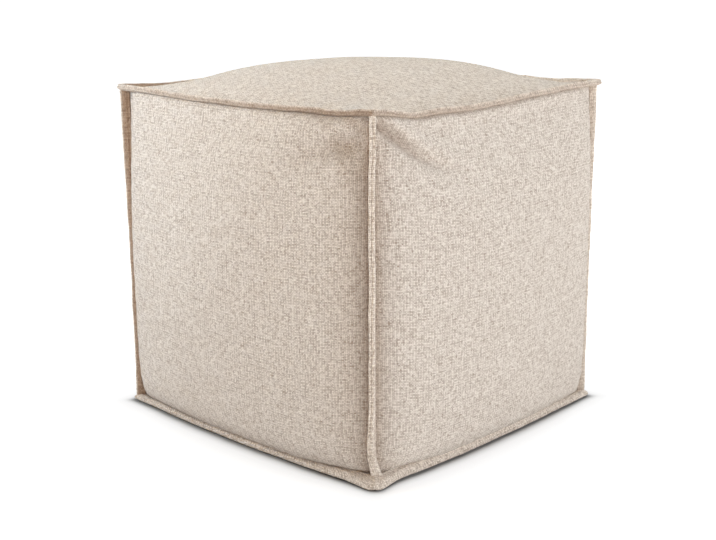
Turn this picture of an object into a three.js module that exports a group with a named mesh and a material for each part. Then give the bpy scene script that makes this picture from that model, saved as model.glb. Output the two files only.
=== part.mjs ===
// Cube pouf stool: a filled cushion of six cloth panels, with a flat flange standing out of each of its
// twelve seams. The rim flanges run round the top, the base flanges lie on the floor, and the upright
// flanges stand between them at the corners.
// Millimetres, +Z up, the origin on the floor under the middle. "front" is -Y and "right" is +X.

import * as THREE from "three";
import { mergeVertices } from "three/addons/utils/BufferGeometryUtils.js";

// ---- driving dimensions

const cube = { width: 446, depth: 422 }; // between the upright seams, along X and along Y
const flange = {
  depth: 14, // from the seam to the edge
  thickness: 5.8, // two folded hems lying together
  rootThickness: 0.7,
  rootStart: 1.6, // the bare gap between the cushion's seam and the flange
  grooveDepth: 1.1, // between the two folded edges
  cornerTrim: 0.12, // how much of its depth a corner loses to rounding
};
const gap = 0.35; // between pieces that touch
const crown = { top: 48, dome: 8 }; // how far the filling pushes out the middle of a panel
const crownPower = { top: 2.5, across: 12, upper: 3.2, lower: 10 }; // higher: flatter, a tighter turn
const fullness = 0.7; // lower makes a shoulder rounder and steeper beside its seam
const baseSeamHeight = 4; // away from the corners
const floorPanel = { inset: 26, middle: 60 }; // the flat underside, and half its middle square
const dipWidth = 0.15; // of a rim seam's dip, as a share of half the side
const unevenness = 1.4; // slow dents and swellings in every panel
const steps = { panel: 22, flange: 14 }; // cells along each edge
const cloth = { panels: "#d3c6b8", flanges: "#d8ccbe", roughness: 0.95 };

// Seam corners: sideX and sideY say which corner it is. lowOut and highOut push the seam's two ends
// outwards. seamLow and seamHigh are their heights. rimLift and baseDrop are the slopes of the flanges
// there, in degrees. leanLow, leanMiddle and leanHigh turn the upright flange off the diagonal.
const corners = {
  frontLeft: {
    sideX: -1, sideY: -1, lowOut: -0.5, highOut: 0, seamLow: 6, seamHigh: 444,
    rimLift: 14, baseDrop: 16, leanLow: -8, leanMiddle: -30, leanHigh: 0,
  },
  frontRight: {
    sideX: 1, sideY: -1, lowOut: 3, highOut: 0, seamLow: 14, seamHigh: 444,
    rimLift: 12, baseDrop: 50, leanLow: -30, leanMiddle: -8, leanHigh: 4,
  },
  backRight: {
    sideX: 1, sideY: 1, lowOut: 0, highOut: 2.5, seamLow: 6, seamHigh: 444,
    rimLift: 14, baseDrop: 16, leanLow: 30, leanMiddle: 38, leanHigh: 36,
  },
  backLeft: {
    sideX: -1, sideY: 1, lowOut: 0, highOut: 0, seamLow: 6, seamHigh: 444,
    rimLift: 24, baseDrop: 16, leanLow: 6, leanMiddle: -10, leanHigh: 0,
  },
};

// Sides, anticlockwise from above. shoulder is how far the filling pushes the panel out inside the turn
// beside its seams. rimSag is how far the top seam hangs between its corners, sagSkew moves its lowest
// point, and rimDip is a short dip more at dipAt. baseBow is how far the base seam bows out. rimLift and
// baseDrop are the slopes of the two flanges at the middle of the side, in degrees.
const sides = [
  {
    name: "front", from: "frontLeft", to: "frontRight", shoulder: 29, baseBow: 8.5,
    rimSag: 6.5, sagSkew: 0.25, rimDip: 3, dipAt: 0.75, rimLift: 12, baseDrop: 8,
  },
  {
    name: "right", from: "frontRight", to: "backRight", shoulder: 27, baseBow: 5,
    rimSag: 9, sagSkew: -0.5, rimDip: 4, dipAt: -0.72, rimLift: 12, baseDrop: 8,
  },
  {
    name: "back", from: "backRight", to: "backLeft", shoulder: 29, baseBow: 6,
    rimSag: 6, sagSkew: 0.2, rimDip: 2.5, dipAt: -0.7, rimLift: 28, baseDrop: 8,
  },
  {
    name: "left", from: "backLeft", to: "frontLeft", shoulder: 28, baseBow: 7,
    rimSag: 6, sagSkew: -0.2, rimDip: 2, dipAt: 0.65, rimLift: 22, baseDrop: 8,
  },
];

// Main folds. across and up run from -1 to 1 over the panel, from the fold's start to its end. bend
// bows its line by that many millimetres, and lift is the height of its ridge, with a groove beside it.
const folds = [
  { side: "front", across: 0.99, up: 0.9, toAcross: 0.2, toUp: 0.45, bend: 26, width: 15, lift: 4.5 },
  { side: "right", across: -1, up: 0.95, toAcross: -0.5, toUp: 0.66, bend: -7, width: 8, lift: 4.5 },
  { side: "back", across: -0.98, up: 0.92, toAcross: -0.35, toUp: 0.5, bend: -16, width: 13, lift: 3 },
  { side: "left", across: 0.98, up: 0.93, toAcross: 0.45, toUp: 0.62, bend: 10, width: 10, lift: 3 },
  { side: "left", across: -0.98, up: 0.92, toAcross: -0.5, toUp: 0.55, bend: -12, width: 12, lift: 2.5 },
];

const up = new THREE.Vector3(0, 0, 1);
const radians = THREE.MathUtils.degToRad;
const mix = THREE.MathUtils.lerp;

// ---- seams: each is a function of t, from -1 at its start to 1 at its end

// 0 along the middle of a seam, easing to 1 beside its two corners.
function nearCorner(t) {
  return THREE.MathUtils.smoothstep(Math.abs(t), 0.4, 0.92);
}

// The place of a corner's seam, at the floor or at the rim.
function cornerPoint(name, high) {
  const corner = corners[name];
  const out = high ? corner.highOut : corner.lowOut;
  return new THREE.Vector3(
    corner.sideX * (cube.width / 2 + out),
    corner.sideY * (cube.depth / 2 + out),
    high ? corner.seamHigh : corner.seamLow,
  );
}

// The level direction in which a side faces.
function facing(side) {
  return along(side).cross(up);
}

// The level direction from a side's first corner to its second.
function along(side) {
  const direction = cornerPoint(side.to, true).sub(cornerPoint(side.from, true));
  return direction.setZ(0).normalize();
}

// A straight line between two points.
function straight(start, end, t) {
  return start.clone().lerp(end, (t + 1) / 2);
}

// The top seam hangs between its corners, lowest a little to one side.
function rimSeam(side, t) {
  const point = straight(cornerPoint(side.from, true), cornerPoint(side.to, true), t);
  point.z -= side.rimSag * (1 - t * t) ** 1.5 * (1 + side.sagSkew * t);
  point.z -= side.rimDip * Math.exp(-(((t - side.dipAt) / dipWidth) ** 2)) * (1 - t ** 8);
  return point;
}

// The base seam bows outwards, and comes down to the flange's level away from its corners.
function baseSeam(side, t) {
  const point = straight(cornerPoint(side.from, false), cornerPoint(side.to, false), t);
  point.z = mix(baseSeamHeight, point.z, nearCorner(t));
  return point.addScaledVector(facing(side), side.baseBow * (1 - t * t) ** 1.5);
}

// The upright seam runs straight up a corner.
function uprightSeam(name, t) {
  return straight(cornerPoint(name, false), cornerPoint(name, true), t);
}

// ---- panels

// Steps from -1 to 1 that crowd towards both ends, where the cloth turns most.
function crowded(count, power) {
  return Array.from({ length: count + 1 }, (_, i) => {
    const t = (2 * i) / count - 1;
    return Math.sign(t) * (1 - (1 - Math.abs(t)) ** power);
  });
}

// The surface that four seams span, evenly blended from all of them (a Coons patch).
function spanned(low, high, first, last, u, v) {
  const [a, b] = [(u + 1) / 2, (v + 1) / 2];
  const point = low(u).multiplyScalar(1 - b).addScaledVector(high(u), b);
  point.addScaledVector(first(v), 1 - a).addScaledVector(last(v), a);
  point.addScaledVector(low(-1), -(1 - a) * (1 - b)).addScaledVector(low(1), -a * (1 - b));
  return point.addScaledVector(high(-1), -(1 - a) * b).addScaledVector(high(1), -a * b);
}

// 1 over the middle of a panel and 0 at its seams.
function swell(t, power) {
  return 1 - Math.abs(t) ** power;
}

// Slow waves that fade out at the seams.
function dents(u, v, seed) {
  const waves = Math.sin(4.1 * u + 2.3 * v + seed) + Math.sin(3.3 * v - 5.2 * u + 1.7 * seed);
  return 0.5 * unevenness * waves * swell(u, 4) * swell(v, 4);
}

// A fold's height at a place on a side: a ridge with a groove below it, along a bowed line.
function foldHeight(side, u, v) {
  const half = { across: along(side).x ** 2 > 0.5 ? cube.width / 2 : cube.depth / 2, up: 219 };
  let height = 0;
  for (const fold of folds.filter((one) => one.side === side.name)) {
    const start = new THREE.Vector2(fold.across * half.across, fold.up * half.up);
    const line = new THREE.Vector2(fold.toAcross * half.across, fold.toUp * half.up).sub(start);
    const place = new THREE.Vector2(u * half.across, v * half.up).sub(start);
    const run = place.dot(line) / line.lengthSq();
    const hand = Math.sign(line.x); // the ridge lies above the groove on either hand
    const off = (hand * line.cross(place)) / line.length() - fold.bend * 4 * run * (1 - run);
    const width = fold.width * (1 + 0.8 * Math.max(0, run));
    const fade = THREE.MathUtils.smoothstep(run, -0.02, 0.1) * THREE.MathUtils.smoothstep(1 - run, 0, 0.6);
    const ridge = Math.exp(-(((off - width) / width) ** 2));
    const groove = Math.exp(-((off / (0.6 * width)) ** 2));
    height += fold.lift * fade * (ridge - groove);
  }
  return height * Math.min(1, 14 * (1 - Math.abs(u))) * Math.min(1, 14 * (1 - Math.abs(v)));
}

// A side panel: the patch between its seams, pushed out as a low dome on a shoulder that turns tightly
// beside the upright seams and the base seam, and more gently under the rim.
function sidePanel(side, seed) {
  const outwards = facing(side);
  return (u, v) => {
    const point = spanned(
      (t) => baseSeam(side, t),
      (t) => rimSeam(side, t),
      (t) => uprightSeam(side.from, t),
      (t) => uprightSeam(side.to, t),
      u,
      v,
    );
    const dome = crown.dome * swell(u, 2) * swell(v, 2);
    const upwards = swell(v, v > 0 ? crownPower.upper : crownPower.lower);
    const shoulder = side.shoulder * (swell(u, crownPower.across) * upwards) ** fullness;
    const push = dome + shoulder + dents(u, v, seed) + foldHeight(side, u, v);
    return point.addScaledVector(outwards, push);
  };
}

// The top panel: a round crown over the patch between the four rim seams.
function topPanel(u, v) {
  const [front, right, back, left] = sides;
  const point = spanned(
    (t) => rimSeam(front, t),
    (t) => rimSeam(back, -t),
    (t) => rimSeam(left, -t),
    (t) => rimSeam(right, t),
    u,
    v,
  );
  point.z += crown.top * swell(u, crownPower.top) * swell(v, crownPower.top) + dents(u, v, 5);
  return point;
}

// Two triangles for each cell of a grid of points.
function gridTriangles(rows) {
  const triangles = [];
  for (let i = 0; i + 1 < rows.length; i++) {
    for (let j = 0; j + 1 < rows[i].length; j++) {
      const [a, b, c, d] = [rows[i][j], rows[i + 1][j], rows[i + 1][j + 1], rows[i][j + 1]];
      triangles.push([a, b, c], [a, c, d]);
    }
  }
  return triangles;
}

// The panel's surface as triangles.
function panelTriangles(surface) {
  const places = crowded(steps.panel, 1.8);
  return gridTriangles(places.map((u) => places.map((v) => surface(u, v))));
}

// The underside: a sloping band from the base seams to the floor, a flat ring and a flat middle square.
function undersideTriangles() {
  const places = crowded(steps.panel, 1.8).slice(0, -1);
  const edge = sides.flatMap((side) => places.map((t) => baseSeam(side, t)));
  const shrink = 1 - (2 * floorPanel.inset) / cube.width;
  const ring = edge.map((point) => new THREE.Vector3(point.x * shrink, point.y * shrink, 0));
  const middle = sides.map((side) => {
    const corner = corners[side.from];
    return new THREE.Vector3(corner.sideX, corner.sideY, 0).multiplyScalar(floorPanel.middle);
  });
  const triangles = [];
  for (let i = 0; i < edge.length; i++) {
    const next = (i + 1) % edge.length;
    const inner = middle[Math.round(i / steps.panel) % 4];
    const nextInner = middle[Math.round((i + 1) / steps.panel) % 4];
    triangles.push([edge[i], ring[i], ring[next]], [edge[i], ring[next], edge[next]]);
    triangles.push([ring[i], inner, ring[next]]);
    if (inner !== nextInner) triangles.push([ring[next], inner, nextInner]);
  }
  triangles.push([middle[0], middle[2], middle[1]], [middle[0], middle[3], middle[2]]);
  return triangles;
}

// ---- flanges

// The flange's section: pairs of distance from the seam and distance from its middle plane. It is
// narrow at the root and ends in two rounded folds with a groove between them.
function flangeSection() {
  const { depth, thickness, rootStart, rootThickness, grooveDepth } = flange;
  const half = thickness / 2;
  const upper = [
    [rootStart, rootThickness / 2],
    [0.25 * depth, 0.62 * half],
    [depth - 2.4, half],
    [depth - 0.7, 0.86 * half],
    [depth, 0.52 * half],
    [depth - 0.2, 0.2 * half],
  ];
  const lower = upper.map(([out, off]) => [out, -off]).reverse();
  return [...upper, [depth - grooveDepth, 0], ...lower];
}

// Half the flange's thickness at a distance from its seam, or a little more.
function halfThickness(out) {
  const slope = (flange.thickness - flange.rootThickness) / (0.3 * flange.depth);
  return Math.min(flange.thickness, flange.rootThickness + slope * Math.max(0, out)) / 2;
}

// The slope of a side's flange at t, in radians: one value at the middle, easing to the corners' values.
function flangeSlope(side, t, high) {
  const [from, to] = [corners[side.from], corners[side.to]];
  const atCorner = high ? mix(from.rimLift, to.rimLift, (t + 1) / 2)
    : -mix(from.baseDrop, to.baseDrop, (t + 1) / 2);
  const atMiddle = high ? side.rimLift : -side.baseDrop;
  return radians(mix(atMiddle, atCorner, nearCorner(t)));
}

// A rim or base flange: its section carried along the seam, its ends cut on the corners' diagonals.
function levelFlange(side, high) {
  const outwards = facing(side);
  const run = along(side);
  const seam = high ? rimSeam : baseSeam;
  return crowded(steps.flange, 1.7).map((t) => {
    const slope = flangeSlope(side, t, high);
    const trim = 1 - flange.cornerTrim * t ** 24;
    return flangeSection().map(([depth, off]) => {
      const level = depth * trim * Math.cos(slope) - off * Math.sin(slope);
      const rise = depth * trim * Math.sin(slope) + off * Math.cos(slope);
      const point = seam(side, t).addScaledVector(outwards, level).addScaledVector(up, rise);
      point.addScaledVector(run, t * (level - gap / Math.SQRT2));
      return point.setZ(Math.max(0, point.z)); // pressed flat where it lies on the floor
    });
  });
}

// The height at which an upright flange has to stop at a place beside a corner, clear of the two level
// flanges that meet there.
function uprightLimit(name, place, high) {
  const corner = corners[name];
  const seam = cornerPoint(name, high);
  const outs = [(place.x - seam.x) * corner.sideX, (place.y - seam.y) * corner.sideY];
  const far = Math.max(...outs);
  const slope = radians(high ? corner.rimLift : -corner.baseDrop);
  const clear = halfThickness(far / Math.cos(slope)) / Math.cos(slope) + gap;
  if (high) return seam.z + Math.min(...outs) * Math.tan(slope) - clear;
  return seam.z + far * Math.tan(slope) + clear;
}

// An upright flange: the same section turned to the diagonal, its ends fitted to the level flanges.
function uprightFlange(name) {
  const corner = corners[name];
  const diagonal = Math.atan2(corner.sideY, corner.sideX);
  return crowded(steps.flange, 1.1).map((t, i) => {
    const toEnd = t > 0 ? corner.leanHigh : corner.leanLow;
    const lean = radians(mix(corner.leanMiddle, toEnd, t * t));
    const out = new THREE.Vector3(Math.cos(diagonal + lean), Math.sin(diagonal + lean), 0);
    const across = out.clone().cross(up);
    return flangeSection().map(([depth, off]) => {
      const point = uprightSeam(name, t).addScaledVector(out, depth).addScaledVector(across, off);
      if (i === 0) point.z = uprightLimit(name, point, false);
      if (i === steps.flange) point.z = uprightLimit(name, point, true);
      return point;
    });
  });
}

// The end of a flange: bands across its flat part, then a fan about the groove between its folds.
function capTriangles(ring) {
  const last = ring.length - 1;
  const groove = last / 2;
  const folded = 2; // where the flat part ends
  const triangles = [[ring[folded], ring[last - folded], ring[groove]]];
  for (let j = 0; j < folded; j++) {
    triangles.push([ring[j + 1], ring[j], ring[last - j]]);
    triangles.push([ring[j + 1], ring[last - j], ring[last - j - 1]]);
  }
  for (let j = folded; j < last - folded; j++) {
    if (j !== groove && j + 1 !== groove) triangles.push([ring[groove], ring[j + 1], ring[j]]);
  }
  return triangles;
}

// A flange's skin and its two ends.
function flangeTriangles(stations) {
  const rings = stations.map((ring) => [...ring, ring[0]]);
  const skin = gridTriangles(rings).map(([a, b, c]) => [a, c, b]);
  const end = capTriangles(stations[stations.length - 1]).map(([a, b, c]) => [a, c, b]);
  return [...skin, ...capTriangles(stations[0]), ...end];
}

// ---- meshes

function closedMesh(name, triangles, colour) {
  const geometry = new THREE.BufferGeometry().setFromPoints(triangles.flat());
  const merged = mergeVertices(geometry, 1e-3);
  merged.computeVertexNormals();
  const material = new THREE.MeshStandardMaterial({
    color: colour,
    roughness: cloth.roughness,
    metalness: 0,
  });
  const mesh = new THREE.Mesh(merged, material);
  mesh.name = name;
  return mesh;
}

// The filled cushion, closed by its six panels.
function cushion() {
  const panels = [...sides.map((side, i) => sidePanel(side, i + 1)), topPanel];
  const triangles = [...panels.flatMap(panelTriangles), ...undersideTriangles()];
  return closedMesh("cushion", triangles, cloth.panels);
}

const group = new THREE.Group();
group.add(cushion());
for (const side of sides) {
  const rim = flangeTriangles(levelFlange(side, true));
  const base = flangeTriangles(levelFlange(side, false));
  group.add(closedMesh(`rim_flange_${side.name}`, rim, cloth.flanges));
  group.add(closedMesh(`base_flange_${side.name}`, base, cloth.flanges));
}
for (const name of Object.keys(corners)) {
  const upright = flangeTriangles(uprightFlange(name));
  group.add(closedMesh(`upright_flange_${name}`, upright, cloth.flanges));
}

export default group;
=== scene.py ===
import math

import bmesh
import bpy
import numpy as np
from mathutils import Matrix


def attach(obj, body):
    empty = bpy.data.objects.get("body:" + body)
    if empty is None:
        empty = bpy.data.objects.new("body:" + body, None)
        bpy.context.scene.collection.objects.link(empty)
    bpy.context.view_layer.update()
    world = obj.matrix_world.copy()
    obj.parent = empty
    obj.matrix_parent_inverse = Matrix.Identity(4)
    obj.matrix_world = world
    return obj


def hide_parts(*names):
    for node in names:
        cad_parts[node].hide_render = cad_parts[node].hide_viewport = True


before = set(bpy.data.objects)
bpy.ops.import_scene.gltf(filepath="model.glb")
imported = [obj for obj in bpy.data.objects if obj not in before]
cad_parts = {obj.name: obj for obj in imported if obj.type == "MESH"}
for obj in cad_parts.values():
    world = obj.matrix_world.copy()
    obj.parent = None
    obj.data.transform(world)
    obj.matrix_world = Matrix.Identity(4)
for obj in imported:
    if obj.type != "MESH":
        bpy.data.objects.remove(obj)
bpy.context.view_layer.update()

# Cube pouf stool: a filled cushion of six cloth panels, with a flat flange standing out of each seam.
# Metres and degrees, +Z up, the origin on the floor under the middle. "front" is -Y and "right" is +X.
# t runs from -1 to 1 along a seam. On a side panel u runs from -1 to 1 along it and v from base to rim.

pouf = {
    "width": 0.446,  # between the upright seams, along X
    "depth": 0.422,  # along Y
    "halfHeight": 0.219,  # half of what lies between a base seam and the rim seam above it
    "dome": 0.008,  # how far the filling pushes out the middle of a side
    "domePower": 2,
    "crown": 0.048,  # and of the top
    "crownPower": 2.5,  # higher is flatter, with a tighter turn
    "acrossPower": 12,
    "upperPower": 3.2,
    "lowerPower": 10,
    "fullness": 0.7,  # lower makes a shoulder rounder and steeper beside its seam
    "hug": 0.0085,  # how far a side bulges out against the rim flange above it
    "hugAt": 0.0055,  # below the seam
    "bulgePower": 12,  # higher keeps that bulge, and the base's, up closer to the corners
    "baseSeamHeight": 0.004,  # away from the corners
    "sagPower": 1.5,  # of the bows of the rim and base seams
    "dipWidth": 0.15,  # of a rim seam's dip, as a share of half the side
    "dipPower": 8,  # higher keeps it up closer to the corners
    "cornerEase": (0.4, 0.92),  # where a seam starts to be its corner's, and where it is fully so
    "floorInset": 0.026,  # from the base seam to the flat underside
}

# Seam corners. x and y say which one it is. lowOut and highOut push out the ends of its upright seam, and
# seamLow and seamHigh are their heights. rimLift and baseDrop are the slopes of the level flanges there,
# and baseFill thickens the base's. lean turns the upright flange off the diagonal at its low end, its
# middle and its high end, and foot turns its foot further. puff bulges the base beside the corner, and
# tipReach and tipRadius lengthen and round the base flange's tip. The last value is how much painted shade
# darkens the upright flange
corners = {
    "frontLeft": {
        "x": -1, "y": -1, "lowOut": -0.0005, "highOut": 0, "seamLow": 0.006, "seamHigh": 0.444,
        "rimLift": 14, "baseDrop": 16, "baseFill": 0.002, "lean": (-8, -27, 0), "foot": 0,
        "puff": 0, "tipReach": 0, "tipRadius": 0.006, "paintedShade": 2.0,
    },
    "frontRight": {
        "x": 1, "y": -1, "lowOut": 0.003, "highOut": 0, "seamLow": 0.014, "seamHigh": 0.444,
        "rimLift": 12, "baseDrop": 55, "baseFill": 0.009, "lean": (-30, -8, 4), "foot": 45,
        "puff": 0.0045, "tipReach": 0.0065, "tipRadius": 0.016, "paintedShade": 0.2,
    },
    "backRight": {
        "x": 1, "y": 1, "lowOut": 0, "highOut": 0.0025, "seamLow": 0.006, "seamHigh": 0.444,
        "rimLift": 14, "baseDrop": 16, "baseFill": 0.003, "lean": (30, 38, 36), "foot": 0,
        "puff": 0, "tipReach": 0, "tipRadius": 0.006, "paintedShade": 0.4,
    },
    "backLeft": {
        "x": -1, "y": 1, "lowOut": 0, "highOut": 0, "seamLow": 0.006, "seamHigh": 0.444,
        "rimLift": 24, "baseDrop": 16, "baseFill": 0.002, "lean": (6, -10, 0), "foot": 0,
        "puff": 0, "tipReach": 0, "tipRadius": 0.006, "paintedShade": 0.5,
    },
}

# Sides, anticlockwise from above. shoulder is how far the panel stands out beside its seams. rimSag,
# sagSkew, rimDip and dipAt bow and dip the rim seam. baseBow bows the base seam outwards, and puffWidth is
# how far along it the corners' puffs reach. rimLift and baseDrop are the flanges' slopes in the middle,
# liftPuff turns the rim's up or down in one place, and rimFill and baseFill thicken them. The last four are
# painted shade: how much darkens the panel beside its seams and the base flange, a faint one over the half
# towards the next side, where the panel turns from the light, and how much darkens the rim flange and how
# that changes along it
sides = [
    {
        "name": "front", "from": "frontLeft", "to": "frontRight", "shoulder": 0.029,
        "rimSag": 0.0055, "sagSkew": 0.25, "rimDip": 0.003, "dipAt": 0.75,
        "rimLift": 12, "liftPuff": 0, "rimFill": 0.0022,
        "baseBow": 0.0085, "puffWidth": 0.34, "baseDrop": 8, "baseFill": 0.0045,
        "paintedShade": 0.55, "turned": 0.10, "rimPaintedShade": 0.34, "paintedShadeSkew": 0.42,
    },
    {
        "name": "right", "from": "frontRight", "to": "backRight", "shoulder": 0.027,
        "rimSag": 0.0078, "sagSkew": -1.25, "rimDip": 0.004, "dipAt": -0.72,
        "rimLift": 12, "liftPuff": 0, "rimFill": 0.0018,
        "baseBow": 0.005, "puffWidth": 0.12, "baseDrop": 8, "baseFill": 0.008,
        "paintedShade": 0.2, "turned": 0, "rimPaintedShade": 0.25, "paintedShadeSkew": -0.3,
    },
    {
        "name": "back", "from": "backRight", "to": "backLeft", "shoulder": 0.029,
        "rimSag": 0.006, "sagSkew": 0.2, "rimDip": 0.0025, "dipAt": -0.7,
        "rimLift": 28, "liftPuff": 0, "rimFill": 0.002,
        "baseBow": 0.006, "puffWidth": 0.1, "baseDrop": 8, "baseFill": 0.002,
        "paintedShade": 0.3, "turned": 0, "rimPaintedShade": 0.3, "paintedShadeSkew": 0,
    },
    {
        "name": "left", "from": "backLeft", "to": "frontLeft", "shoulder": 0.028,
        "rimSag": 0.006, "sagSkew": -0.2, "rimDip": 0.002, "dipAt": 0.65,
        "rimLift": 22, "liftPuff": -8, "rimFill": 0.002,
        "baseBow": 0.007, "puffWidth": 0.1, "baseDrop": 8, "baseFill": 0.002,
        "paintedShade": 0.4, "turned": 0, "rimPaintedShade": 1.3, "paintedShadeSkew": 0,
    },
]

up = np.array([0.0, 0.0, 1.0])


# From a to b by a share: a + (b - a) share
def mix(a, b, share):
    return a + (b - a) * share


# 0 below low, 1 above high, and 3s^2 - 2s^3 between them
def smoothStep(x, low, high):
    s = np.clip((x - low) / (high - low), 0, 1)
    return s * s * (3 - 2 * s)


# A direction brought to a length of 1
def unit(v):
    return v / np.linalg.norm(v, axis=-1, keepdims=True)


# 1 over the middle of a panel and 0 at its seams: 1 - |t|^power
def swell(t, power):
    return 1 - np.abs(t) ** power


# Steps from -1 to 1 that crowd towards both ends: sign(t) (1 - (1 - |t|)^power)
def crowded(count, power):
    t = np.linspace(-1, 1, count + 1)
    return np.sign(t) * (1 - (1 - np.abs(t)) ** power)


# Slow random-looking waver along a seam, from -1 to 1: three sines with unlike lengths. The seed, and at
# some uses a stretch of t, set one waver apart from another
def waver(t, seed):
    slow = np.sin(9.1 * t + 1.9 * seed)
    medium = np.sin(17.3 * t + 3.1 * seed)
    quick = np.sin(41.7 * t + 0.7 * seed)
    return (slow + 0.8 * medium + 0.5 * quick) / 2.3


# The low or high end of a corner's upright seam
def cornerPoint(name, high):
    c = corners[name]
    out = c["highOut"] if high else c["lowOut"]
    return np.array([c["x"] * (pouf["width"] / 2 + out), c["y"] * (pouf["depth"] / 2 + out),
                     c["seamHigh"] if high else c["seamLow"]])


# A value of the nearer one of a side's two corners, at each t
def nearerCorner(side, key, t):
    return np.where(t > 0, corners[side["to"]][key], corners[side["from"]][key])


# A value that changes evenly from a side's first corner to its second
def betweenCorners(side, key, t):
    return mix(corners[side["from"]][key], corners[side["to"]][key], (t + 1) / 2)


# 0 along the middle of a seam, easing to 1 beside its two corners
def nearCorner(t):
    return smoothStep(np.abs(t), *pouf["cornerEase"])


for side in sides:
    span = cornerPoint(side["to"], True) - cornerPoint(side["from"], True)
    side["along"] = unit(span * [1, 1, 0])
    side["facing"] = np.cross(side["along"], up)


# A straight line from start, where t is -1, to end, where t is 1
def straight(start, end, t):
    return mix(start, end, (np.asarray(t)[..., None] + 1) / 2)


# The rim seam: a straight line less sag (1 - t^2)^power (1 + skew t), with one short dip, which is
# dip exp(-((t - at) / width)^2) and fades out at the corners
def rimSeam(side, t):
    t = np.asarray(t, float)
    point = straight(cornerPoint(side["from"], True), cornerPoint(side["to"], True), t)
    sag = side["rimSag"] * (1 - t * t) ** pouf["sagPower"] * (1 + side["sagSkew"] * t)
    dip = side["rimDip"] * np.exp(-((t - side["dipAt"]) / pouf["dipWidth"]) ** 2)
    return point - up * (sag + dip * swell(t, pouf["dipPower"]))[..., None]


# How far the squashed base bulges out beside each corner: puff exp(-((1 - |t|) / width)^2), easing to 0
# at the corner itself
def squashed(side, t):
    t = np.asarray(t, float)
    reach = np.exp(-((1 - np.abs(t)) / side["puffWidth"]) ** 2)
    return nearerCorner(side, "puff", t) * reach * swell(t, pouf["bulgePower"])


# The base seam: bowed outwards by bow (1 - t^2)^power, and level away from its corners
def baseSeam(side, t):
    t = np.asarray(t, float)
    point = straight(cornerPoint(side["from"], False), cornerPoint(side["to"], False), t)
    point[..., 2] = mix(pouf["baseSeamHeight"], point[..., 2], nearCorner(t))
    bow = side["baseBow"] * (1 - t * t) ** pouf["sagPower"]
    return point + side["facing"] * (bow + squashed(side, t))[..., None]


# An upright seam: a straight line from the base to the rim
def uprightSeam(name, t):
    return straight(cornerPoint(name, False), cornerPoint(name, True), t)


# The surface that four seams span: both pairs blended evenly across, less the blend of their four ends
# (a Coons patch)
def spanned(low, high, first, last, u, v):
    a, b = ((u + 1) / 2)[..., None], ((v + 1) / 2)[..., None]
    ends = np.array([-1.0, 1.0])
    lowEnds, highEnds = low(ends), high(ends)
    return (low(u) * (1 - b) + high(u) * b + first(v) * (1 - a) + last(v) * a
            - lowEnds[0] * (1 - a) * (1 - b) - lowEnds[1] * a * (1 - b)
            - highEnds[0] * (1 - a) * b - highEnds[1] * a * b)


# Panels of the cushion

cushionLook = {
    "cells": 128,  # along each edge of a panel
    "crowding": 1.35,  # higher gives the seams more of them
    "unevenness": 0.0014,  # slow dents
    "dentPower": 4,  # higher keeps them up closer to the seams
    "pucker": 0.0006,  # short waves beside the seams
    "puckerWaves": (47, 31, 83),  # turns of the three along a seam, in radians for each unit of t
    "puckerRise": 0.004,  # how far from the seam they rise
    "puckerFade": 22,  # higher makes them end sooner
    "undersideRings": 6,  # from the base seams to the flat underside
    "undersidePower": 2.5,  # higher brings them down sooner
    "innerRings": (0.6, 0.25),  # on the flat underside, as shares of its size
    "panelShift": 0.613,  # metres of cloth between one side's weave and the next one's
    "topShift": 4.1,
    "fill": 0.9,
}

# Folds. start and end are places (u, v) on the panel, bend bows the line between them and grow widens it
# towards the end. lift is the height of its ridge, groove the depth beside it and shade how dark that is
folds = [
    {"side": "front", "start": (1, 0.62), "end": (0.0, 0.0), "bend": 0.034, "width": 0.040, "grow": 0.6,
     "lift": 0.0075, "groove": 0, "shade": 0},
    {"side": "front", "start": (1, 0.84), "end": (0.3, 0.45), "bend": 0.026, "width": 0.018, "grow": 1.2,
     "lift": 0.0045, "groove": 0.0075, "shade": 0.25},
    {"side": "front", "start": (1, 0.955), "end": (0.62, 0.93), "bend": 0.003, "width": 0.006, "grow": 0.4,
     "lift": -0.0015, "groove": 0, "shade": 0},
    {"side": "front", "start": (-1, 1), "end": (-0.95, -0.1), "bend": 0, "width": 0.030, "grow": -0.3,
     "lift": 0, "groove": 0.0055, "shade": 0},
    {"side": "right", "start": (-1, 0.95), "end": (-0.3, 0.62), "bend": -0.004, "width": 0.0095, "grow": 1.0,
     "lift": 0.006, "groove": 0.012, "shade": 0.42},
    {"side": "right", "start": (-1, -0.93), "end": (-0.8, -0.96), "bend": 0, "width": 0.006, "grow": 0.5,
     "lift": 0, "groove": 0.004, "shade": 0.3},
    {"side": "back", "start": (-1, 0.9), "end": (-0.35, 0.5), "bend": -0.016, "width": 0.012, "grow": 1.0,
     "lift": 0.004, "groove": 0.006, "shade": 0.2},
    {"side": "left", "start": (1, 0.93), "end": (0.45, 0.62), "bend": 0.010, "width": 0.010, "grow": 1.0,
     "lift": 0.004, "groove": 0.006, "shade": 0.2},
    {"side": "left", "start": (-1, 0.92), "end": (-0.5, 0.55), "bend": -0.012, "width": 0.011, "grow": 1.0,
     "lift": 0.003, "groove": 0.005, "shade": 0.2},
]
foldLook = {
    "ridgeAt": 1.1,  # widths from the groove to the ridge
    "grooveWidth": 0.6,  # as a share of the fold's width
    "startEase": (-0.02, 0.06),  # the part of its run where a fold rises
    "endEase": (0, 0.75),  # and where it fades, counted back from its end
    "shadeEase": (0.2, 0.9),  # the same for its shade
    "seamEase": 22,  # higher keeps it up closer to the seams
}
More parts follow.
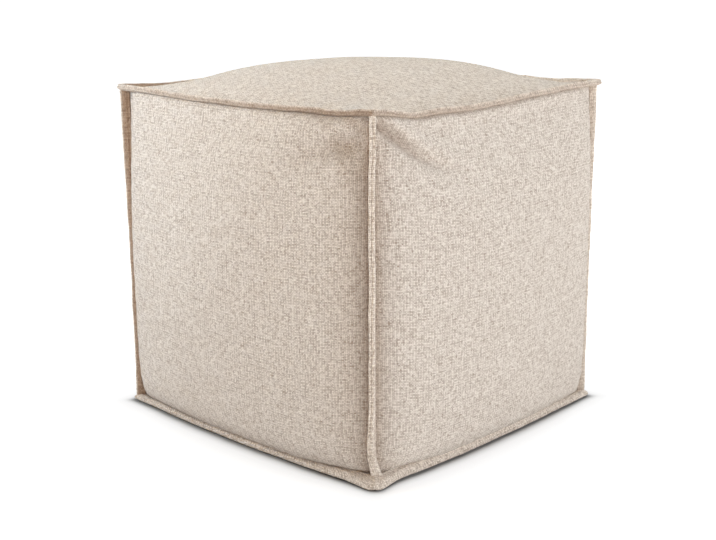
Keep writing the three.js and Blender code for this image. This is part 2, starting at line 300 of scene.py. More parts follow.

# Painted shade on the panels, in the creases beside the seams and underneath. A reach is in metres, and a
# share is of the side's painted shade
shadeLook = {
    "nearReach": 0.006,  # beside an upright seam, the strong part
    "nearShare": 0.7,
    "farReach": 0.024,  # and the faint one
    "farShare": 0.3,
    "baseReach": 0.012,  # above a base seam
    "baseShare": 0.75,
    "baseUneven": 0.35,
    "rimReach": 0.004,  # below a rim seam
    "rimShare": 0.2,
    "cornerReach": 0.006,  # added to those two towards the front right corner
    "cornerShare": 0.5,
    "cornerEase": (0.45, 0.85),
    "turnSlant": 0.5,  # of the edge of the shade called turned
    "turnEase": (-0.6, 0.2),
    "topReach": 0.004,  # on the top panel, beside a rim seam
    "topShade": 0.3,
    "undersideShade": 0.3,
}


# Two slow waves that fade out at the seams: unevenness / 2 times the sum of two sines, times swell(u)
# swell(v). The sines' numbers only keep them out of step
def dents(u, v, seed):
    power = cushionLook["dentPower"]
    waves = np.sin(4.1 * u + 2.3 * v + seed) + np.sin(3.3 * v - 5.2 * u + 1.7 * seed)
    return 0.5 * cushionLook["unevenness"] * waves * swell(u, power) * swell(v, power)


# Adds up a ridge lift exp(-((off - 1.1w) / w)^2) and a groove exp(-(off / 0.6w)^2) for each fold, w being
# its width and off the distance from a line bowed by bend 4 run (1 - run). Returns the height and the
# painted shade in the grooves
def foldHeight(side, u, v):
    look = foldLook
    alongX = abs(side["along"][0]) > abs(side["along"][1])
    half = np.array([(pouf["width"] if alongX else pouf["depth"]) / 2, pouf["halfHeight"]])
    height, shade = np.zeros_like(u), np.zeros_like(u)
    for fold in [f for f in folds if f["side"] == side["name"]]:
        start = np.array(fold["start"]) * half
        line = np.array(fold["end"]) * half - start
        place = np.stack([u, v], -1) * half - start
        run = place @ line / (line @ line)
        cross = line[0] * place[..., 1] - line[1] * place[..., 0]
        off = np.sign(line[0]) * cross / np.linalg.norm(line) - fold["bend"] * 4 * run * (1 - run)
        width = fold["width"] * (1 + fold["grow"] * np.clip(run, 0, 1))
        fade = smoothStep(run, *look["startEase"]) * smoothStep(1 - run, *look["endEase"])
        ridge = fold["lift"] * fade * np.exp(-((off - look["ridgeAt"] * width) / width) ** 2)
        groove = fade * np.exp(-(off / (look["grooveWidth"] * width)) ** 2)
        height += ridge - fold["groove"] * groove
        shade += fold["shade"] * groove * smoothStep(1 - run, *look["shadeEase"])
    ease = look["seamEase"]
    atSeam = np.minimum(1, ease * (1 - np.abs(u))) * np.minimum(1, ease * (1 - np.abs(v)))
    return height * atSeam, shade


# Short waves across each seam: three sines along it, rising as d / (1 + d), where d is the distance over
# puckerRise, and fading as exp(-puckerFade distance / width)
def puckers(u, v, seed):
    look = cushionLook
    first, second, third = look["puckerWaves"]
    total = np.zeros_like(u)
    for near, run, phase in ((1 - np.abs(u), v, 1.3), (1 - np.abs(v), u, 4.1)):
        distance = near * pouf["width"] / 2
        d = distance / look["puckerRise"]
        waves = (np.sin(first * run + seed + phase) + 0.7 * np.sin(second * run - 2 * seed)
                 + 0.5 * np.sin(third * run + phase))
        total += waves * d * np.exp(-distance / pouf["width"] * look["puckerFade"]) / (1 + d)
    return look["pucker"] * total


# A side: its patch pushed out by a dome, by a shoulder (swell(u) swell(v))^fullness and, beneath the rim,
# by hug b exp(1 - b), b being the distance below the seam over hugAt
def sidePanel(side, u, v, seed):
    point = spanned(lambda t: baseSeam(side, t), lambda t: rimSeam(side, t),
                    lambda t: uprightSeam(side["from"], t), lambda t: uprightSeam(side["to"], t), u, v)
    upwards = np.where(v > 0, swell(v, pouf["upperPower"]), swell(v, pouf["lowerPower"]))
    shoulder = side["shoulder"] * (swell(u, pouf["acrossPower"]) * upwards) ** pouf["fullness"]
    dome = pouf["dome"] * swell(u, pouf["domePower"]) * swell(v, pouf["domePower"])
    push = dome + shoulder + dents(u, v, seed)
    folded, inGroove = foldHeight(side, u, v)
    below = pouf["halfHeight"] * (1 - v) / pouf["hugAt"]
    hug = pouf["hug"] * swell(u, pouf["bulgePower"]) * below * np.exp(1 - below)
    push += folded + puckers(u, v, seed) + hug
    return point + side["facing"] * push[..., None], inGroove


# Painted shade in the creases beside the seams, from 0 to 1: share exp(-distance / reach) at each edge,
# uneven along the base, and strongest under the rim beside the front right corner. The painted shade of
# the fold grooves and a faint painted shade over the half turned from the light, which eases in along
# u - slant v, come on top
def paintedShadeMask(side, u, v, inGroove):
    look = shadeLook
    across, upwards = pouf["width"] / 2 * (1 - np.abs(u)), pouf["halfHeight"] * (1 - np.abs(v))
    near = look["nearShare"] * np.exp(-across / look["nearReach"])
    atUpright = side["paintedShade"] * (near + look["farShare"] * np.exp(-across / look["farReach"]))
    uneven = look["baseShare"] + look["baseUneven"] * waver(1.7 * u, 5)
    atBase = side["paintedShade"] * np.exp(-upwards / look["baseReach"]) * uneven * (v < 0)
    towards = u if side["to"] == "frontRight" else -u
    nearFront = smoothStep(towards, *look["cornerEase"]) * ("frontRight" in (side["from"], side["to"]))
    share = look["rimShare"] + look["cornerShare"] * nearFront
    reach = look["rimReach"] + look["cornerReach"] * nearFront
    atRim = side["paintedShade"] * share * np.exp(-upwards / reach) * (v > 0)
    turned = side["turned"] * smoothStep(u - look["turnSlant"] * v, *look["turnEase"])
    return np.clip(np.maximum(atUpright, np.maximum(atBase, atRim)) + inGroove + turned, 0, 1)


# The top: a crown (1 - |u|^p)(1 - |v|^p) over the patch between the four rim seams
def topPanel(u, v, seed):
    front, right, back, left = sides
    point = spanned(lambda t: rimSeam(front, t), lambda t: rimSeam(back, -t),
                    lambda t: rimSeam(left, -t), lambda t: rimSeam(right, t), u, v)
    crown = pouf["crown"] * swell(u, pouf["crownPower"]) * swell(v, pouf["crownPower"])
    return point + up * (crown + dents(u, v, seed) + puckers(u, v, seed))[..., None]


# Shade on the top beside the rim seams: share exp(-distance / reach)
def topShade(u, v):
    distance = pouf["width"] / 2 * (1 - np.maximum(np.abs(u), np.abs(v)))
    return shadeLook["topShade"] * np.exp(-distance / shadeLook["topReach"])


# Four corner indices for each cell of a grid of vertices, row by row
def gridFaces(rows, columns, closeColumns=False):
    i = np.arange(rows - 1)[:, None]
    j = np.arange(columns if closeColumns else columns - 1)[None, :]
    nextJ = (j + 1) % columns
    cells = [i * columns + j, (i + 1) * columns + j, (i + 1) * columns + nextJ, i * columns + nextJ]
    return np.stack(cells, -1).reshape(-1, 4)


# Triangles that close a ring of vertices about a middle one, which comes after them
def fanFaces(count):
    i = np.arange(count)
    return np.stack([i, (i + 1) % count, np.full(count, count)], -1)


# Distance along a surface from its middle line, summed over the steps of one axis
def arcLength(points, axis):
    step = np.linalg.norm(np.diff(points, axis=axis), axis=-1)
    start = np.zeros_like(np.take(step, [0], axis))
    run = np.concatenate([start, np.cumsum(step, axis)], axis)
    return run - np.take(run, [run.shape[axis] // 2], axis)


# The cloth's own flat coordinates on a grid: the distance along the surface, both ways
def clothFlat(points):
    return np.stack([arcLength(points, 0), arcLength(points, 1)], -1)


# Puts points, faces, the cloth's own flat coordinates and its shade into a mesh, welded where parts meet
def clothPiece(name, parts, weld=2e-6):
    vertices = np.concatenate([p.reshape(-1, 3) for p, _, _, _ in parts])
    flat = np.concatenate([c.reshape(-1, 2) for _, _, c, _ in parts])
    shade = np.concatenate([np.broadcast_to(d, p.shape[:-1]).ravel() for p, _, _, d in parts])
    faces, start = [], 0
    for points, cells, _, _ in parts:
        faces.append(cells + start)
        start += points.reshape(-1, 3).shape[0]
    corner = np.concatenate([f.reshape(-1) for f in faces])
    size = np.concatenate([np.full(len(f), f.shape[1]) for f in faces])
    mesh = bpy.data.meshes.new(name)
    mesh.vertices.add(len(vertices))
    mesh.vertices.foreach_set("co", vertices.astype(np.float32).ravel())
    mesh.loops.add(len(corner))
    mesh.loops.foreach_set("vertex_index", corner.astype(np.int32))
    mesh.polygons.add(len(size))
    mesh.polygons.foreach_set("loop_start", np.concatenate([[0], np.cumsum(size)[:-1]]).astype(np.int32))
    layer = mesh.uv_layers.new(name="cloth")
    layer.data.foreach_set("uv", flat[corner].astype(np.float32).ravel())
    mesh.attributes.new("paintedShadeMask", "FLOAT", "POINT").data.foreach_set("value", shade.astype(np.float32))
    mesh.update(calc_edges=True)
    mesh.validate()
    work = bmesh.new()
    work.from_mesh(mesh)
    bmesh.ops.remove_doubles(work, verts=work.verts, dist=weld)
    bmesh.ops.recalc_face_normals(work, faces=work.faces)
    work.to_mesh(mesh)
    work.free()
    mesh.polygons.foreach_set("use_smooth", np.ones(len(mesh.polygons), bool))
    piece = bpy.data.objects.new(name, mesh)
    bpy.context.scene.collection.objects.link(piece)
    return piece


# Rings that shrink evenly from the base seams to the flat underside while their height falls as
# (1 - share)^power, with a fan about the middle
def undersideParts(edge):
    look = cushionLook
    count = len(edge)
    shrink = 1 - 2 * pouf["floorInset"] / pouf["width"]
    share = np.linspace(0, 1, look["undersideRings"] + 1)[:, None]
    inner = np.array(look["innerRings"])[:, None] * shrink
    scale = np.concatenate([mix(1, shrink, share), inner])
    height = np.concatenate([(1 - share) ** look["undersidePower"], 0 * inner])
    rings = np.stack([edge[None, :, 0] * scale, edge[None, :, 1] * scale, edge[None, :, 2] * height], -1)
    rings = np.concatenate([rings.reshape(-1, 3), [[0, 0, 0]]])
    cells = gridFaces(len(scale), count, closeColumns=True)
    last = (len(scale) - 1) * count
    flat, shade = rings[:, :2], shadeLook["undersideShade"]
    return [(rings, cells, flat, shade), (rings[last:], fanFaces(count), flat[last:], shade)]


# The four sides, the top and the underside, as one welded piece
def makeCushion():
    look = cushionLook
    places = crowded(look["cells"], look["crowding"])
    u, v = np.meshgrid(places, places, indexing="ij")
    cells = gridFaces(*u.shape)
    parts = []
    for seed, side in enumerate(sides, 1):
        points, inGroove = sidePanel(side, u, v, seed)
        flat = clothFlat(points) + seed * look["panelShift"]
        parts.append((points, cells, flat, paintedShadeMask(side, u, v, inGroove)))
    points = topPanel(u, v, 5)
    parts.append((points, cells, clothFlat(points) + look["topShift"], topShade(u, v)))
    edge = np.concatenate([baseSeam(side, places[:-1]) for side in sides])
    parts += undersideParts(edge)
    return clothPiece("cushionPanels", parts)


# Flanges

flangeLook = {
    "depth": 0.014,  # from the seam to the edge
    "thickness": 0.0058,  # two folded hems lying together
    "rootThickness": 0.0008,  # at the seam
    "groove": 0.0006,  # between the two folded edges
    "fold": (78, 12, 6),  # each edge's first and last angle, and its points
    "hemFrom": 0.0004,  # where a hem starts, from the seam
    "hemPoints": 12,
    "hemRise": 0.45,  # the share of the depth where it is at its full thickness
    "stitchAt": 0.0034,  # the stitched line, from the seam
    "stitchWidth": 0.0011,
    "stitchPull": 0.35,  # how much it draws the hems together
    "plumpPower": 4,  # higher carries the filled-out side closer to the edge
    "rimRadius": 0.006,  # of the rim's corners
    "tipWidth": 0.12,  # of the base's longer tips, as a share of half the side
    "edgeGap": 0.0022,  # under the base flanges' outer edge
    "gapEase": (0.5, 0.9),  # where that gap opens, as shares of the depth
    "liftPuffAt": 0.72,  # where the rim turns up or down
    "liftPuffWidth": 0.2,
    "cells": 150,  # along each flange
    "crowding": 1.5,  # higher gives the corners more of them
    "waver": 0.0005,  # the edge is a little uneven
    "thicknessWaver": 0.08,
    "tilt": 3.5,  # and so is the slope
    "baseTilt": 0.3,  # the share of that on the floor
    "calmPower": 10,  # higher lets them waver closer to the corners
}


# The section: pairs of distance from the seam and from the middle plane. Each hem rises from the root,
# dips at the stitched line and turns in a round fold, and the two folds leave a groove
def flangeSection(groove, fold, root, thickness):
    look = flangeLook
    half, depth = thickness / 2, look["depth"]
    radius = half / 2
    out = np.linspace(look["hemFrom"], depth - radius, look["hemPoints"])
    rise = root / 2 + (half - root / 2) * smoothStep(out, 0, look["hemRise"] * depth)
    dip = 1 - look["stitchPull"] * np.exp(-((out - look["stitchAt"]) / look["stitchWidth"]) ** 2)
    flatPart = np.stack([out, rise * dip], -1)
    angle = np.radians(np.linspace(*fold))
    foldPart = np.stack([depth - radius + radius * np.cos(angle), radius + radius * np.sin(angle)], -1)
    upper = np.concatenate([flatPart, foldPart])
    lower = upper[::-1] * [1, -1]
    return np.concatenate([upper, [[depth - groove, 0]], lower])


# The slope of a side's flange at t: one value at the middle, easing to the corners' values. The rim's has
# liftPuff exp(-((t - at) / width)^2) more
def flangeSlope(side, t, high):
    if not high:
        return np.radians(mix(-side["baseDrop"], -betweenCorners(side, "baseDrop", t), nearCorner(t)))
    slope = mix(side["rimLift"], betweenCorners(side, "rimLift", t), nearCorner(t))
    away = (t - flangeLook["liftPuffAt"]) / flangeLook["liftPuffWidth"]
    return np.radians(slope + side["liftPuff"] * np.exp(-away ** 2))


# How much thicker a base flange is where the cushion squeezes it: one value along the middle, easing to
# the corners' values
def baseFill(side, t):
    return mix(side["baseFill"], betweenCorners(side, "baseFill", t), nearCorner(t) ** 2)


# How much of its depth a flange loses so that its corner is round: r (1 - sqrt(1 - s^2 / 2)), s running
# from 0 where the rounding starts to 1 on the corner's diagonal
def cornerLoss(t, radius, reach):
    start = 1 - radius / reach
    s = np.clip((np.abs(t) - start) / (1 - start), 0, 1)
    return radius * (1 - np.sqrt(1 - s * s / 2))


# A rim or base flange: its section carried along the seam, spread so that its ends meet on the corners'
# diagonals. cornerLoss shortens it there, a base tip gains tipReach exp(-((1 - |t|) / width)^2), and
# rimFill or baseFill thickens the side that faces the cushion by fill (1 - (distance / depth)^power)
def levelFlange(side, high, t, section, seed):
    look = flangeLook
    out, off = section[None, :, 0], section[None, :, 1]
    calm = swell(t, look["calmPower"])
    tilt = np.radians(look["tilt"]) * waver(t, seed) * calm * (1 if high else look["baseTilt"])
    slope = flangeSlope(side, t, high) + tilt
    radius = look["rimRadius"] if high else nearerCorner(side, "tipRadius", t)
    loss = cornerLoss(t, radius, pouf["width"] / 2 + look["depth"])
    tip = np.exp(-((1 - np.abs(t)) / look["tipWidth"]) ** 2)
    extra = 0 if high else nearerCorner(side, "tipReach", t) * tip
    uneven = look["waver"] * waver(1.3 * t, seed + 7) * calm
    depth = out * (1 + (extra - loss + uneven) / look["depth"])[:, None]
    plump = swell(out / look["depth"], look["plumpPower"])
    thick = off * (1 + look["thicknessWaver"] * waver(2.1 * t, seed + 3) * calm)[:, None]
    if high:
        thick = thick - side["rimFill"] * plump * (off < 0)
    else:
        thick = thick + baseFill(side, t)[:, None] * plump * (off > 0)
    sine, cosine = np.sin(slope)[:, None], np.cos(slope)[:, None]
    level = depth * cosine - thick * sine
    rise = depth * sine + thick * cosine
    seam = rimSeam(side, t) if high else baseSeam(side, t)
    points = (seam[:, None, :] + side["facing"] * level[..., None] + up * rise[..., None]
              + side["along"] * (t[:, None] * level)[..., None])
    gapFrom, gapFull = look["gapEase"]
    gap = look["edgeGap"] * smoothStep(out, gapFrom * look["depth"], gapFull * look["depth"])
    points[..., 2] = np.maximum(0 if high else gap, points[..., 2])
    return points


# Steps along one level flange, without the last, where the next flange starts
def levelSteps():
    return crowded(flangeLook["cells"], flangeLook["crowding"])[:-1]


# Where a base flange's outermost line stands over the floor
def baseOutline(side, t, seed):
    section = np.array([[flangeLook["depth"], 0.0]])
    return levelFlange(side, False, t, section, seed)[:, 0, :2]


# Painted shade on the flanges
flangeShadeLook = {
    "fadeEase": (0.55, 0.97),  # where it fades out towards the edge, as shares of the depth
    "underRim": 2,  # times the rim's painted shade, beneath it and round its edge
    "underEase": (-0.0028, -0.0002),  # where that rises, measured down from the middle plane
    "edgeFrom": 0.7,  # where the edge starts, as a share of the depth
    "baseReach": 0.006,
    "footPaintedShade": 0.75,  # one side of an upright flange with a turned foot has at least this
    "end": 0.2,  # on the cut ends of the uprights
}


# Shade on a flange: full at its root, fading out at its edge
def flangeShade(distance):
    return 1 - smoothStep(distance / flangeLook["depth"], *flangeShadeLook["fadeEase"])


# Shade round a level flange's section. The base's is exp(-distance / reach). The rim's is flangeShade on
# top, rises on the way down round its edge and is full beneath
def levelShade(section, high):
    look = flangeShadeLook
    distance, height = section[:, 0], section[:, 1]
    if not high:
        return np.exp(-distance / look["baseReach"])
    under = look["underRim"] * smoothStep(-height, *look["underEase"])
    return np.where((height < 0) | (distance > look["edgeFrom"] * flangeLook["depth"]), under,
                    flangeShade(distance))


# How much painted shade a side's level flange has along its seam: the rim's is its own amount times
# (1 + skew t)
def levelPaintedShade(side, t, high):
    return side["rimPaintedShade"] * (1 + side["paintedShadeSkew"] * t) if high else np.full(len(t), side["paintedShade"])


# All four level flanges of the rim or of the base, as one closed ring
def makeLevelRing(name, high):
    look = flangeLook
    section = flangeSection(look["groove"], look["fold"], look["rootThickness"], look["thickness"])
    t = levelSteps()
    rings = np.concatenate([levelFlange(side, high, t, section, 2 * k + high)
                            for k, side in enumerate(sides)])
    closed = np.concatenate([rings, rings[:1]])
    closed = np.concatenate([closed, closed[:, :1]], 1)
    inside = levelShade(section, high)
    inside = np.append(inside, inside[0])
    # painted shade, strongest at the root and, on the rim, beneath it
    paintedShade = np.concatenate([levelPaintedShade(side, t, high) for side in sides])
    shade = np.clip(inside * np.append(paintedShade, paintedShade[0])[:, None], 0, 1)
    return clothPiece(name, [(closed, gridFaces(*closed.shape[:2]), clothFlat(closed), shade)])


# Upright flanges. Those with a turned foot are thicker, less deep and end lower there
uprightLook = {
    "thickness": 0.0072,
    "rootThickness": 0.0055,
    "groove": 0.0016,  # between the two folded edges
    "fold": (75, -60, 8),
    "crowding": 1.15,
    "calmPower": 8,
    "footTurn": 0.09,  # how far up the foot is turned, as a share of half the height
    "footSpread": 0.9,  # how much thicker it is
    "spreadReach": 0.10,
    "footLoss": 0.25,  # how much less deep it is
    "lossReach": 0.035,
    "footSink": 0.006,  # how far below its seam a turned foot ends
    "footFall": 0.4,  # and how much lower for each metre outwards
    "endGap": 0.0006,  # between the other ends and the level flanges
    "lowestEnd": 0.001,
}


# The height of an upright flange's end: on the level flanges' slope, seam + out tan(slope), less or plus
# a gap. A turned foot ends on seam - sink - fall out
def uprightEnd(name, point, high):
    look, c = uprightLook, corners[name]
    seam = cornerPoint(name, high)
    outs = np.stack([(point[:, 0] - seam[0]) * c["x"], (point[:, 1] - seam[1]) * c["y"]])
    slope = math.radians(c["rimLift"] if high else -c["baseDrop"])
    if high:
        return seam[2] + outs.min(0) * math.tan(slope) - look["endGap"]
    if c["foot"]:
        return seam[2] - look["footSink"] - look["footFall"] * outs.max(0)
    return np.maximum(look["lowestEnd"], seam[2] + outs.max(0) * math.tan(slope) + look["endGap"])


# 1 at the foot of an upright flange, fading upwards: exp(-((t + 1) / reach)^2)
def nearFoot(t, reach):
    return np.exp(-((t + 1) / reach) ** 2)


# An upright flange: a section turned to the diagonal and carried up the seam, leaning as the corner says,
# with its two ends closed by fans
def makeUpright(name):
    look, own, c = flangeLook, uprightLook, corners[name]
    turnedFoot = 1 if c["foot"] else 0
    section = flangeSection(own["groove"], own["fold"], own["rootThickness"], own["thickness"])
    t = crowded(look["cells"], own["crowding"])
    diagonal = math.atan2(c["y"], c["x"])
    low, middle, high = c["lean"]
    lean = mix(middle, np.where(t > 0, high, low), t * t)
    tilt = look["tilt"] * waver(t, len(name)) * swell(t, own["calmPower"])
    lean = lean + c["foot"] * nearFoot(t, own["footTurn"]) + tilt
    angle = diagonal + np.radians(lean)
    out = np.stack([np.cos(angle), np.sin(angle), 0 * angle], -1)
    across = np.cross(out, up)
    spread = 1 + own["footSpread"] * nearFoot(t, own["spreadReach"]) * turnedFoot
    uneven = 1 + look["waver"] / look["depth"] * waver(1.3 * t, c["x"] + 2 * c["y"])
    loss = own["footLoss"] * nearFoot(t, own["lossReach"]) * turnedFoot
    depth = section[None, :, 0] * uneven[:, None] * (1 - loss)[:, None]
    points = (uprightSeam(name, t)[:, None] + out[:, None] * depth[..., None]
              + across[:, None] * (section[None, :, 1] * spread[:, None])[..., None])
    points[0, :, 2] = uprightEnd(name, points[0], False)
    points[-1, :, 2] = uprightEnd(name, points[-1], True)
    closed = np.concatenate([points, points[:, :1]], 1)
    distance = np.append(section[:, 0], section[0, 0])
    leftSide = np.append(section[:, 1], section[0, 1]) > 0
    # painted shade, full at the flange's root and fading out towards its edge
    paintedShade = np.where(leftSide, max(c["paintedShade"], flangeShadeLook["footPaintedShade"] * turnedFoot), c["paintedShade"])
    shade = np.minimum(flangeShade(distance) * paintedShade, 1)[None, :]
    parts = [(closed, gridFaces(*closed.shape[:2]), clothFlat(closed), shade)]
    for end in (0, -1):
        ring = np.concatenate([points[end], points[end].mean(0, keepdims=True)])
        parts.append((ring, fanFaces(len(ring) - 1), ring[:, :2], flangeShadeLook["end"]))
    return clothPiece("uprightFlange" + name[0].upper() + name[1:], parts)


# Materials

clothLook = {
    "warpPitch": 0.0022,
    "weftPitch": 0.0017,
    "slubLength": 0.0055,
    "rowStep": 7.77,  # keeps the slubs of neighbouring yarns apart
    "wander": 0.0040,  # how far the yarns stray from straight
    "wanderScale": 60.0,
    "wanderDetail": 2.0,
    "fibreNoise": (1500.0, 2.0, 0.6),  # scale, detail and roughness
    "mottleNoise": (90.0, 4.0, 0.7),
    "lightYarn": (0.92, 0.85, 0.765, 1),
    "darkYarn": (0.43, 0.335, 0.26, 1),
    "paintedShade": (0.46, 0.36, 0.29, 1),  # the colour of the painted shade, times the yarn
    "panelTint": (1, 1, 1, 1),  # times the yarn too
    # painted light: the flanges' cloth is the panels' cloth painted lighter, where their edges catch the
    # light
    "flangePaintedLight": (1.14, 1.13, 1.11, 1),
    "middleTone": 0.60,
    "weftTone": -0.6,  # weft yarns are darker than warp ones
    "slubTone": 2.1,
    "mottleTone": 0.4,
    "lineTone": 0.14,  # every other yarn is lighter
    "fibreTone": 0.85,
    # painted shade in the gaps between the yarns, darker where a yarn's top falls away
    "yarnGapShade": 0.9,
    "meanTop": 0.64,  # the mean height of a yarn's round top
    "crossing": 0.36,  # how sharply the yarns take turns on top
    "bump": 0.0013,
    "topBump": 0.6,  # shares of the bump
    "slubBump": 0.9,
    "fibreBump": 0.25,
    "roughness": 0.92,
    "specular": 0.2,
    "sheen": 0.12,
    "sheenRoughness": 0.6,
    "sheenTint": (1, 0.96, 0.92, 1),
}


# A material's nodes. add makes one and sets its inputs, linking those that are another node's output
class Wires:
    def __init__(self, name):
        self.material = bpy.data.materials.new(name)
        self.material.use_nodes = True
        self.tree = self.material.node_tree
        self.tree.nodes.clear()

    def add(self, kind, inputs=(), **settings):
        node = self.tree.nodes.new(kind)
        for key, value in settings.items():
            setattr(node, key, value)
        for key, value in dict(inputs).items():
            if isinstance(value, bpy.types.NodeSocket):
                self.tree.links.new(value, node.inputs[key])
            else:
                node.inputs[key].default_value = value
        return node

    def math(self, operation, a, b=0.0, c=0.0):
        return self.add("ShaderNodeMath", {0: a, 1: b, 2: c}, operation=operation).outputs[0]

    def vector(self, operation, a, inputs):
        return self.add("ShaderNodeVectorMath", {0: a, **inputs}, operation=operation).outputs[0]

    def mixValue(self, share, a, b):
        return self.add("ShaderNodeMix", {0: share, 2: a, 3: b}, data_type="FLOAT").outputs[0]

    def mixColour(self, share, a, b, blend="MIX"):
        inputs = {0: share, 6: a, 7: b}
        return self.add("ShaderNodeMix", inputs, data_type="RGBA", blend_type=blend).outputs[2]

    def noise(self, vector, scale, detail, roughness=0.5):
        node = self.add("ShaderNodeTexNoise", {"Vector": vector, "Scale": scale, "Detail": detail,
                                               "Roughness": roughness}, noise_dimensions="2D")
        return node.outputs["Factor" if "Factor" in node.outputs else "Fac"]

    # weight (value - middle) + tone
    def addTone(self, tone, value, middle, weight):
        return self.math("MULTIPLY_ADD", self.math("SUBTRACT", value, middle), weight, tone)


# The flat coordinates shifted by wander (noise - 0.5), so that no yarn is quite straight
def strayed(w, flat):
    look = clothLook
    noise = w.add("ShaderNodeTexNoise", {"Vector": flat, "Scale": look["wanderScale"],
                                         "Detail": look["wanderDetail"]}, noise_dimensions="2D")
    drift = w.vector("SUBTRACT", noise.outputs["Color"], {1: (0.5, 0.5, 0.5)})
    drift = w.vector("SCALE", drift, {"Scale": look["wander"]})
    return w.vector("ADD", flat, {1: drift})


# Slubs: each yarn, numbered by its place across, reads its own row of a noise stretched along it
def yarnNoise(w, across, along, pitch):
    row = w.math("FLOOR", w.math("DIVIDE", across, pitch))
    place = w.add("ShaderNodeCombineXYZ", {0: w.math("MULTIPLY", row, clothLook["rowStep"]),
                                           1: w.math("DIVIDE", along, clothLook["slubLength"])})
    return w.noise(place.outputs[0], 1.0, 1.0)


# Plain weave in the cloth's own flat metres. Warp and weft are sines across their yarns; where the product
# of the two is above 0 the warp lies over the weft. Each yarn has slow slubs along it and lighter and
# darker fibres, and the weft is darker. A painted shade darkens the gaps between the yarns, and the painted
# shade stored on the mesh darkens the cloth in the creases beside its seams, in the folds and on the flanges
def clothMaterial(name, tint):
    look = clothLook
    w = Wires(name)
    flat = strayed(w, w.add("ShaderNodeUVMap", uv_map="cloth").outputs[0])
    xy = w.add("ShaderNodeSeparateXYZ", {0: flat})
    x = w.math("SINE", w.math("MULTIPLY", xy.outputs[0], math.pi / look["warpPitch"]))
    y = w.math("SINE", w.math("MULTIPLY", xy.outputs[1], math.pi / look["weftPitch"]))
    warpSlub = yarnNoise(w, xy.outputs[0], xy.outputs[1], look["warpPitch"])
    weftSlub = yarnNoise(w, xy.outputs[1], xy.outputs[0], look["weftPitch"])
    over = w.math("MULTIPLY_ADD", w.math("MULTIPLY", x, y), look["crossing"], 0.5)
    slub = w.mixValue(over, weftSlub, warpSlub)
    yarnTop = w.mixValue(over, w.math("ABSOLUTE", y), w.math("ABSOLUTE", x))
    fibre = w.noise(flat, *look["fibreNoise"])
    mottle = w.noise(flat, *look["mottleNoise"])
    # how light the yarn is here
    tone = w.addTone(look["middleTone"], slub, 0.5, look["slubTone"])
    tone = w.math("MULTIPLY_ADD", w.math("SUBTRACT", 0.5, over), look["weftTone"], tone)
    tone = w.math("MULTIPLY_ADD", w.math("ADD", x, y), look["lineTone"], tone)
    tone = w.addTone(tone, mottle, 0.5, look["mottleTone"])
    tone = w.addTone(tone, fibre, 0.5, look["fibreTone"])
    # painted shade, darker in the gaps between the yarns
    tone = w.addTone(tone, yarnTop, look["meanTop"], look["yarnGapShade"])
    tone = w.add("ShaderNodeClamp", {0: tone}).outputs[0]
    colour = w.mixColour(tone, look["darkYarn"], look["lightYarn"])
    colour = w.mixColour(1.0, colour, tint, "MULTIPLY")
    # painted shade stored on the mesh: creases, folds, under the rim and on the flanges
    paintedShadeMix = w.add("ShaderNodeAttribute", attribute_name="paintedShadeMask").outputs["Fac"]
    colour = w.mixColour(paintedShadeMix, colour, look["paintedShade"], "MULTIPLY")
    height = w.math("MULTIPLY_ADD", yarnTop, look["topBump"], w.math("MULTIPLY", slub, look["slubBump"]))
    height = w.math("MULTIPLY_ADD", fibre, look["fibreBump"], height)
    bump = w.add("ShaderNodeBump", {"Height": height, "Strength": 1.0, "Distance": look["bump"]}).outputs[0]
    shader = w.add("ShaderNodeBsdfPrincipled", {"Base Color": colour, "Roughness": look["roughness"],
                                                "Normal": bump})
    shader.inputs["Specular IOR Level"].default_value = look["specular"]
    shader.inputs["Sheen Weight"].default_value = look["sheen"]
    shader.inputs["Sheen Roughness"].default_value = look["sheenRoughness"]
    shader.inputs["Sheen Tint"].default_value = look["sheenTint"]
    w.add("ShaderNodeOutputMaterial", {"Surface": shader.outputs[0]})
    return w.material


# Gives a piece its cloth and says which solids it stands for
def dress(piece, material, nodes):
    piece.data.materials.clear()
    piece.data.materials.append(material)
    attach(piece, "root")
    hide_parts(*nodes)


panelCloth = clothMaterial("panelCloth", clothLook["panelTint"])
# the flanges' copy of the cloth, painted lighter
flangeClothPaintedLighter = clothMaterial("flangeClothPaintedLighter", clothLook["flangePaintedLight"])

cushion = makeCushion()
dress(cushion, panelCloth, ["cushion"])
print("cushion made")

rim = makeLevelRing("rimFlange", True)
dress(rim, flangeClothPaintedLighter, ["rim_flange_" + side["name"] for side in sides])
base = makeLevelRing("baseFlange", False)
dress(base, flangeClothPaintedLighter, ["base_flange_" + side["name"] for side in sides])
for name in corners:
    dress(makeUpright(name), flangeClothPaintedLighter, ["upright_flange_" + name])
print("flanges made")

# Floor, light and camera

